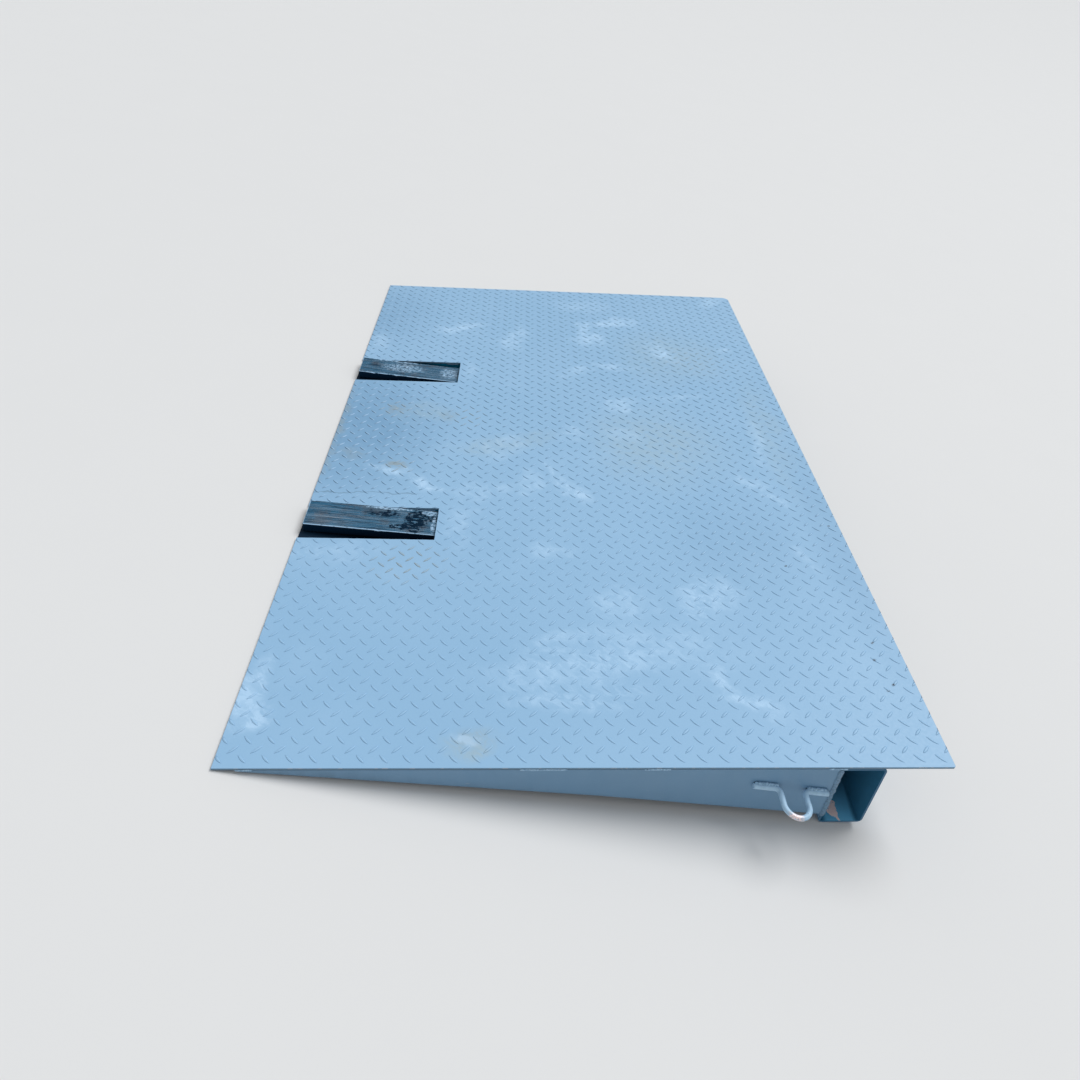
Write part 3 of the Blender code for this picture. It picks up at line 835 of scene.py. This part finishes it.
def wavy(start, end, wobble, seed):
    """Points along a hand-cut edge, without its last one."""
    start, end = Vector(start), Vector(end)
    count = max(1, round((end - start).length / WAVY_STEP))
    across = (end - start).normalized().orthogonal()
    points = []
    for i in range(count):
        stray = noise.noise(Vector((i * 0.35, seed, 0.0))) + 0.5 * noise.noise(Vector((i * 1.3, seed, 9.0)))
        fade = min(1.0, i, count - i)
        points.append(start.lerp(end, i / count) + across * (wobble * stray * fade))
    return [(p.x, p.y) for p in points]


def plate_outline(tread):
    """Round the deck plate from its low corner at -y, with the slots cut into the low edge."""
    near_centre = (DECK_LENGTH - tread.near_corner, -HALF_WIDTH + tread.near_corner)
    far_centre = (DECK_LENGTH - tread.far_corner, HALF_WIDTH - tread.far_corner)
    points = [(0.0, -HALF_WIDTH)]
    points += arc(near_centre, tread.near_corner, -90, 0, 5)
    points += arc(far_centre, tread.far_corner, 0, 90, 12)
    points.append((0.0, HALF_WIDTH))
    for seed, side in enumerate(("far", "near")):
        low, high = slot_edges(side)
        end = SLOT_LENGTHS[side]
        corners = [Vector(c).to_3d() for c in ((0.0, high), (end, high), (end, low), (0.0, low))]
        for n, (a, b) in enumerate(zip(corners, corners[1:])):
            points += wavy(a, b, tread.cut_wobble, 11 * seed + n)
        points.append((0.0, low))
    return points


def add_plate(shape, tread):
    """The flat plate, its top and bottom edges worn off."""
    outline = plate_outline(tread)
    wear = tread.edge_wear
    top = [shape.verts.new((x, y, 0.0)) for x, y in outline]
    face = shape.faces.new(top)
    shape.normal_update()
    if face.normal.z < 0:
        face.normal_flip()
    extruded = bmesh.ops.extrude_face_region(shape, geom=[face])
    moved = [g for g in extruded["geom"] if isinstance(g, bmesh.types.BMVert)]
    bmesh.ops.translate(shape, verts=moved, vec=(0.0, 0.0, -DECK_T))
    bmesh.ops.recalc_face_normals(shape, faces=shape.faces)
    rims = [e for e in shape.edges if abs(e.verts[0].co.z - e.verts[1].co.z) < 1e-6]
    bmesh.ops.bevel(shape, geom=rims, offset=wear, segments=2, affect="EDGES", profile=0.5)


def lozenge_rings(tread):
    """One lozenge lying along x: its sunk foot, its shoulder, and the point of its crown."""
    stations = (-1.0, -0.62, -0.22, 0.22, 0.62, 1.0)
    half_length, half_width = tread.lozenge_length / 2, tread.lozenge_width / 2
    foot = [(s * half_length, half_width * (1 - s * s) ** 0.85) for s in stations]
    foot += [(s * half_length, -half_width * (1 - s * s) ** 0.85) for s in reversed(stations[1:-1])]
    shoulder = [(x * 0.90, y * 0.52) for x, y in foot]
    sunk = [Vector((x, y, -0.0004)) for x, y in foot]
    raised = [Vector((x, y, tread.lozenge_height * 0.82)) for x, y in shoulder]
    return sunk, raised, Vector((0.0, 0.0, tread.lozenge_height))


def inside_slot(x, y, slots, margin=0.0):
    """The slot that a place lies in, each slot widened by margin, or None."""
    for low, high, end in slots:
        if x < end + margin and low - margin < y < high + margin:
            return low, high, end
    return None


def kept_on_plate(point, centre, slots, rim):
    """A point of the lozenge round centre, pulled back onto the plate where an edge or a slot cuts it."""
    x = min(max(centre[0] + point.x, rim), DECK_LENGTH - rim)
    y = min(max(centre[1] + point.y, -HALF_WIDTH + rim), HALF_WIDTH - rim)
    cut = inside_slot(x, y, slots, rim)
    if cut:
        low, high, end = cut
        if centre[0] > end:
            x = end + rim
        else:
            y = low - rim if centre[1] < (low + high) / 2 else high + rim
    return Vector((x, y, point.z))


def lozenge_places(tread, slots):
    """The middles of all lozenges on the plate, and which way each one leans."""
    far_corner = Vector((DECK_LENGTH - tread.far_corner, HALF_WIDTH - tread.far_corner))
    places = []
    for lean, offset in ((-1, 0.0), (1, 0.5)):
        across = -1
        while (y := -HALF_WIDTH + tread.first_y + (across + offset) * tread.pitch_y) < HALF_WIDTH:
            up = -1
            while (x := tread.first_x + (up + offset) * tread.pitch_x) < DECK_LENGTH:
                beyond = Vector((x, y)) - far_corner
                off_corner = min(beyond) > 0 and beyond.length > tread.far_corner - tread.lozenge_length / 2
                on_plate = x > 0 and y > -HALF_WIDTH
                if on_plate and not off_corner and not inside_slot(x, y, slots):
                    places.append((x, y, lean))
                up += 1
            across += 1
    return places


def make_tread_deck(tread, colours):
    """The deck plate with every raised lozenge as real relief."""
    shape = bmesh.new()
    add_plate(shape, tread)
    for plate_face in shape.faces:
        plate_face.smooth = False
    slots = [(*slot_edges(side), end) for side, end in SLOT_LENGTHS.items()]
    sunk, raised, crown = lozenge_rings(tread)
    wander = random.Random(4)
    for x, y, lean in lozenge_places(tread, slots):
        turn = Matrix.Rotation(lean * math.radians(45 + wander.uniform(-1.5, 1.5)), 3, "Z")
        foot, shoulder, (top,) = (
            [shape.verts.new(kept_on_plate(turn @ p, (x, y), slots, tread.edge_wear)) for p in ring]
            for ring in (sunk, raised, [crown])
        )
        shape.faces.new(foot)
        sides = skin(shape, shoulder, foot)
        sides += [shape.faces.new((shoulder[i], shoulder[i - 1], top)) for i in range(len(shoulder))]
        for face in sides:
            face.smooth = True
    new_piece("tread_deck", shape, deck_finish(colours), ["deck_plate"], smooth=False)


# ---------------------------------------------------------------- beam, bars and eyes

def make_box_beam(steel, finish):
    """The box section with round corners and saw-cut ends."""
    low, high = deck_box("high_beam")
    wall = steel.beam_wall
    outer = rounded_rectangle((low.x, low.z), (high.x, high.z), steel.beam_radius, 10)
    inner_low, inner_high = (low.x + wall, low.z + wall), (high.x - wall, high.z - wall)
    inner = rounded_rectangle(inner_low, inner_high, steel.beam_radius - wall, 10)
    burr = steel.plate_edge
    middle = Vector(((low.x + high.x) / 2, (low.z + high.z) / 2))

    def inset(points, amount):
        return [Vector(p) + (middle - Vector(p)).normalized() * amount for p in points]

    stations = [(outer, low.y + burr), (outer, high.y - burr), (inset(outer, burr), high.y)]
    stations += [(inset(inner, -burr), high.y), (inner, high.y - burr), (inner, low.y + burr)]
    stations += [(inset(inner, -burr), low.y), (inset(outer, burr), low.y)]
    shape = bmesh.new()
    rings = [[shape.verts.new((p[0], y, p[1])) for p in points] for points, y in stations]
    for n, ring in enumerate(rings):
        skin(shape, rings[n - 1], ring)
    new_piece("box_beam", shape, finish, ["high_beam"])


BAR_SECTIONS = 120          # along a slot bar, close enough together for its nicks


def make_slot_bar(side, steel, finish):
    """A solid bar with nicked, rounded edges, in the place and at the tilt of its plain solid."""
    points = deck_points(f"slot_bar_{side}")
    top_low = max((p for p in points if p.x < 0.1), key=lambda p: p.z)
    top_high = max((p for p in points if p.x > 0.4), key=lambda p: p.z)
    fall = math.atan2(top_low.z - top_high.z, top_high.x - top_low.x)
    tilt = Matrix.Rotation(fall, 4, "Y")
    low, high = box_round([tilt.inverted() @ p for p in points])
    middle = (low + high) / 2
    chamfer = steel.bar_radius * 0.5
    inner = high.x - low.x - 2 * chamfer
    run = [low.x + chamfer + inner * n / BAR_SECTIONS for n in range(BAR_SECTIONS + 1)]
    stations = [(low.x, chamfer)] + [(x, 0.0) for x in run] + [(high.x, chamfer)]
    shape = bmesh.new()
    rings = []
    for x, inset in stations:
        section = rounded_rectangle(
            (low.y + inset, low.z + inset), (high.y - inset, high.z - inset), steel.bar_radius, 5
        )
        ring = []
        for y, z in section:
            on_edge = z > high.z - steel.bar_radius and not low.y + 0.004 < y < high.y - 0.004
            nick = max(0.0, noise.noise(Vector((x * 75.0, y * 40.0, 3.0))) - 0.15) * steel.bar_dents
            sink = nick if on_edge else 0.0
            inward = math.copysign(sink, middle.y - y)
            ring.append(tilt @ Vector((x, y + inward, z - sink)))
        rings.append(ring)
    loft(shape, rings)
    new_piece(f"worn_bar_{side}", shape, finish, [f"slot_bar_{side}"])


EYE_MIDDLE = Vector((1.168, 0.0, -0.0703))      # of the nose, in the deck's frame
EYE_FALL = math.atan(0.1795)                    # the legs' slope against the deck
EYE_LEG_LOW = 0.0864                            # from the nose's middle to the low leg's end
EYE_GAP = 0.0003                                # between the bar and the side plate
EYE_BEAD_ROOT = (0.0030, 0.0066)                # out from the plate and over the leg's middle
EYE_BEAD_LEAN = (0.45, 0.89)                    # which way the bead faces, out and up
EYE_BEAD_WIDTH = 0.0082
EYE_BEAD_HEIGHT = 0.0046
EYE_BEAD_OVERRUN = 0.001                        # past each end of its plain bead


def eye_route(steel, low, high):
    """The eye's centre line in the plane of its legs, as (along the plate, out from it)."""
    foot = steel.eye_bar / 2
    nose_out = (high.y - low.y) - steel.eye_bar / 2
    bend_x = steel.eye_nose + steel.eye_bend
    bend_y = foot + steel.eye_bend
    end = (high.x - low.x) / math.cos(EYE_FALL) - EYE_LEG_LOW
    leg = [(-EYE_LEG_LOW + i * (EYE_LEG_LOW - bend_x) / 6, foot) for i in range(6)]
    points = leg + arc((-bend_x, bend_y), steel.eye_bend, -90, 0, 8)
    points += arc((0.0, nose_out - steel.eye_nose), steel.eye_nose, 180, 0, 28)
    points += arc((bend_x, bend_y), steel.eye_bend, 180, 270, 8)
    points += [(bend_x + i * (end - bend_x) / 6, foot) for i in range(1, 7)]
    return points


def eye_matrix(side):
    """The matrix from an eye's own frame, with x along its legs and y across the ramp, to the deck's."""
    face = SIDES[side] * HALF_WIDTH
    return Matrix.Translation(EYE_MIDDLE + Vector((0.0, face, 0.0))) @ Matrix.Rotation(EYE_FALL, 4, "Y")


def make_lashing_eye(side, steel, welds, finish, bead):
    """The bent bar, and a lumpy bead laid over each of its legs."""
    low, high = deck_box(f"lashing_eye_{side}")
    sign = SIDES[side]
    place = eye_matrix(side)
    route = [place @ Vector((x, sign * (out + EYE_GAP), 0.0)) for x, out in eye_route(steel, low, high)]
    shape = bmesh.new()
    add_sweep(shape, route, steel.eye_bar / 2, 20, 0.035, 3.0 + sign)
    new_piece(f"bent_eye_{side}", shape, finish, [f"lashing_eye_{side}"])
    for n, leg in enumerate(("low", "high")):
        node = f"eye_weld_{side}_{leg}"
        start, end = box_round([place.inverted() @ p for p in deck_points(node)])
        shape = bmesh.new()
        up = place.to_3x3() @ Vector((0.0, sign * EYE_BEAD_LEAN[0], EYE_BEAD_LEAN[1]))
        reach = (start.x - EYE_BEAD_OVERRUN, end.x + EYE_BEAD_OVERRUN)
        ends = [place @ Vector((x, sign * EYE_BEAD_ROOT[0], EYE_BEAD_ROOT[1])) for x in reach]
        add_bead(shape, *ends, up, EYE_BEAD_WIDTH, EYE_BEAD_HEIGHT, welds, 5 + n + sign)
        new_piece(f"eye_bead_{side}_{leg}", shape, bead, [node])


# ---------------------------------------------------------------- welds

def make_edge_bead(node, name, settings, finish, seed):
    """A rippled bead in place of one plain bead on a side face of the ramp."""
    low, high = deck_box(node)
    sign = 1 if low.y > 0 else -1
    face = low.y if sign > 0 else high.y
    middle_x, middle_z = (low.x + high.x) / 2, (low.z + high.z) / 2
    if high.z - low.z > high.x - low.x:
        ends = (middle_x, face, low.z), (middle_x, face, high.z)
        width = high.x - low.x
    else:
        ends = (low.x, face, middle_z), (high.x, face, middle_z)
        width = high.z - low.z
    shape = bmesh.new()
    add_bead(shape, *ends, (0.0, sign, 0.0), width, high.y - low.y, settings, seed)
    new_piece(name, shape, finish, [node])


STITCH_START = 0.08                 # from a rib's low end to where its stitches may start
STITCH_END = 0.06                   # from its high end to where they end
HEEL_WELD = (-0.155, -0.090)        # bottom and top of the fillets on the beam, under the deck's top


def make_under_welds(settings, finish):
    """Stitched fillets where the ribs and pocket walls meet the deck, and where they meet the beam."""
    uprights = [n for n in frame["nodes"] if n.startswith(("rib_", "pocket_wall_"))]
    shape = bmesh.new()
    leg = settings.fillet
    for seed, node in enumerate(sorted(uprights)):
        low, high = deck_box(node)
        run = high.x - low.x - STITCH_START - STITCH_END
        for face, sign in ((low.y, -1), (high.y, 1)):
            outward = Vector((0.0, sign, -1.0))
            for i in range(settings.stitches):
                x = low.x + STITCH_START + run * (i + (0.5 if sign > 0 else 0.15)) / settings.stitches
                root_y, root_z = face + sign * leg * 0.25, -DECK_T - leg * 0.25
                ends = [(x + d, root_y, root_z) for d in (0, settings.stitch)]
                add_bead(shape, *ends, outward, leg * 1.2, leg * 0.4, settings, seed * 13 + i)
            heel = high.x - leg * 0.25
            ends = [(heel, root_y, z) for z in HEEL_WELD]
            add_bead(shape, *ends, (-1.0, sign, 0.0), leg * 1.2, leg * 0.4, settings, seed * 13 + 7)
    new_piece("under_welds", shape, finish)


# ---------------------------------------------------------------- carried-over plates

def dress_plates(finish, prefixes, edge):
    """Gives the frame's own plates their paint and slightly rounded edges."""
    found = [name for name in frame["nodes"] if name.startswith(prefixes)]
    if not found:
        raise RuntimeError(f"the frame has no node that starts with any of {prefixes}")
    for name in found:
        node = frame["nodes"][name]
        node.data.materials.clear()
        node.data.materials.append(finish)
        bevel = node.modifiers.new("cut_edges", "BEVEL")
        bevel.width = edge
        bevel.segments = 2
        bevel.limit_method = "ANGLE"
        bevel.angle_limit = SHARP_ANGLE


# ---------------------------------------------------------------- the stage

FLOOR_RISE = 0.0023         # of the rim, per metre squared past the level part
FLOOR_GAP = 0.0004          # between the level floor and the ground that the ramp rests on


def make_floor(stage):
    """Level round the ramp, and rising gently far away, past all that a camera above the deck sees."""
    rings = []
    for i in range(25):
        radius = stage.floor_level + (stage.floor_rim - stage.floor_level) * i / 24
        height = FLOOR_RISE * (radius - stage.floor_level) ** 2 - FLOOR_GAP
        rings.append([(x, y, height) for x, y in arc((0.0, 0.0), radius, 0, 357, 119)])
    shape = bmesh.new()
    loft(shape, rings, caps=(True, False))
    data = to_mesh("floor", shape, floor_finish(stage))
    data.flip_normals()
    data.shade_smooth()
    floor = add_object("floor", data)


def make_light(stage):
    """An even, faintly blue sky, and a broad sun from one side."""
    world = bpy.data.worlds.new("studio")
    bpy.context.scene.world = world
    world.use_nodes = True
    background = world.node_tree.nodes["Background"]
    background.inputs["Color"].default_value = (0.93, 0.97, 1.0, 1.0)
    background.inputs["Strength"].default_value = stage.sky
    lamp = bpy.data.lights.new("soft_sun", "SUN")
    lamp.energy = stage.sun
    lamp.angle = stage.sun_softness
    flat = math.cos(stage.sun_height)
    towards = Vector((
        flat * math.cos(stage.sun_bearing), flat * math.sin(stage.sun_bearing), math.sin(stage.sun_height)
    ))
    add_object("soft_sun", lamp).rotation_euler = towards.to_track_quat("Z", "Y").to_euler()


def make_camera(stage):
    """The camera, with its lens shifted off its axis."""
    data = bpy.data.cameras.new("camera")
    data.sensor_width = 36.0
    data.lens = stage.lens
    data.shift_x = stage.shift_x
    data.shift_y = stage.shift_y
    data.clip_end = 200.0
    camera = add_object("camera", data)
    place, aim = Vector(stage.camera_place), Vector(stage.camera_aim)
    turn = (aim - place).to_track_quat("-Z", "Y").to_matrix().to_4x4()
    camera.matrix_world = Matrix.Translation(place) @ turn @ Matrix.Rotation(stage.camera_roll, 4, "Z")
    bpy.context.scene.camera = camera


# ---------------------------------------------------------------- operators

class RampOperator:
    """What the ramp's operators share."""

    bl_options = {"REGISTER", "UNDO"}


class RAMP_OT_stage(RampOperator, bpy.types.Operator):
    """Adds the pale floor, the soft light and the camera"""

    bl_idname = "ramp.stage"
    bl_label = "Stage"

    def execute(self, context):
        stage = context.scene.ramp_stage
        context.scene.view_settings.view_transform = "Standard"
        make_floor(stage)
        make_light(stage)
        make_camera(stage)
        return {"FINISHED"}


class RAMP_OT_tread_deck(RampOperator, bpy.types.Operator):
    """Builds the tread plate with its raised lozenges and hand-cut slots"""

    bl_idname = "ramp.tread_deck"
    bl_label = "Tread deck"

    def execute(self, context):
        make_tread_deck(context.scene.ramp_tread, context.scene.ramp_finish)
        return {"FINISHED"}


class RAMP_OT_frame(RampOperator, bpy.types.Operator):
    """Builds the box beam and paints the side plates, ribs and cross flats"""

    bl_idname = "ramp.frame"
    bl_label = "Beam and plates"

    def execute(self, context):
        colours, steel = context.scene.ramp_finish, context.scene.ramp_steel
        make_box_beam(steel, beam_finish(colours))
        dress_plates(frame_finish(colours), ("side_plate", "rib_", "cross_flat"), steel.plate_edge)
        return {"FINISHED"}


class RAMP_OT_pockets(RampOperator, bpy.types.Operator):
    """Paints the fork pockets and builds the worn bars in the slots"""

    bl_idname = "ramp.pockets"
    bl_label = "Fork pockets"

    def execute(self, context):
        colours, steel = context.scene.ramp_finish, context.scene.ramp_steel
        dress_plates(pocket_finish(colours), ("pocket_", "bar_rest"), steel.plate_edge)
        for side in SIDES:
            make_slot_bar(side, steel, bar_finish(colours, side))
        return {"FINISHED"}


class RAMP_OT_lashing_eyes(RampOperator, bpy.types.Operator):
    """Builds the bent lashing eyes with their weld beads"""

    bl_idname = "ramp.lashing_eyes"
    bl_label = "Lashing eyes"

    def execute(self, context):
        scene = context.scene
        colours = scene.ramp_finish
        eye = eye_finish(colours)
        bead = bead_finish(colours, "eye_bead_paint", colours.bead_paint, colours.frame_paint)
        for side in SIDES:
            make_lashing_eye(side, scene.ramp_steel, scene.ramp_weld, eye, bead)
        return {"FINISHED"}


class RAMP_OT_welds(RampOperator, bpy.types.Operator):
    """Lays the rippled beads on the sides and the stitches under the deck"""

    bl_idname = "ramp.welds"
    bl_label = "Welds"

    def execute(self, context):
        welds, colours = context.scene.ramp_weld, context.scene.ramp_finish
        pale = bead_finish(colours, "stitch_bead_paint", colours.bead_paint, colours.frame_paint)
        dull = bead_finish(colours, "corner_bead_paint", colours.frame_paint, colours.frame_grime_and_shade)
        nodes = sorted(n for n in frame["nodes"] if n.startswith(("corner_weld", "stitch_weld")))
        for seed, node in enumerate(nodes):
            finish = dull if node.startswith("corner") else pale
            make_edge_bead(node, node.replace("_weld_", "_bead_"), welds, finish, seed)
        make_under_welds(welds, dull)
        return {"FINISHED"}


class RAMP_PT_panel(bpy.types.Panel):
    """Lists the ramp's operators"""

    bl_label = "Loading ramp"
    bl_idname = "RAMP_PT_panel"
    bl_space_type = "VIEW_3D"
    bl_region_type = "UI"
    bl_category = "Ramp"

    def draw(self, context):
        for operator in OPERATORS:
            self.layout.operator(operator.bl_idname)


SETTINGS = {
    "ramp_tread": RampTreadSettings,
    "ramp_steel": RampSteelSettings,
    "ramp_weld": RampWeldSettings,
    "ramp_finish": RampFinishSettings,
    "ramp_stage": RampStageSettings,
}
OPERATORS = (
    RAMP_OT_stage,
    RAMP_OT_tread_deck,
    RAMP_OT_frame,
    RAMP_OT_pockets,
    RAMP_OT_lashing_eyes,
    RAMP_OT_welds,
)


def register():
    for settings in SETTINGS.values():
        bpy.utils.register_class(settings)
    for name, settings in SETTINGS.items():
        setattr(bpy.types.Scene, name, PointerProperty(type=settings))
    for operator in OPERATORS:
        bpy.utils.register_class(operator)
    bpy.utils.register_class(RAMP_PT_panel)


def unregister():
    bpy.utils.unregister_class(RAMP_PT_panel)
    for operator in reversed(OPERATORS):
        bpy.utils.unregister_class(operator)
    for name, settings in SETTINGS.items():
        delattr(bpy.types.Scene, name)
        bpy.utils.unregister_class(settings)


def main():
    register()
    bpy.ops.ramp.stage()
    bpy.ops.ramp.tread_deck()
    bpy.ops.ramp.frame()
    bpy.ops.ramp.pockets()
    bpy.ops.ramp.lashing_eyes()
    bpy.ops.ramp.welds()


if __name__ == "__main__":
    main()
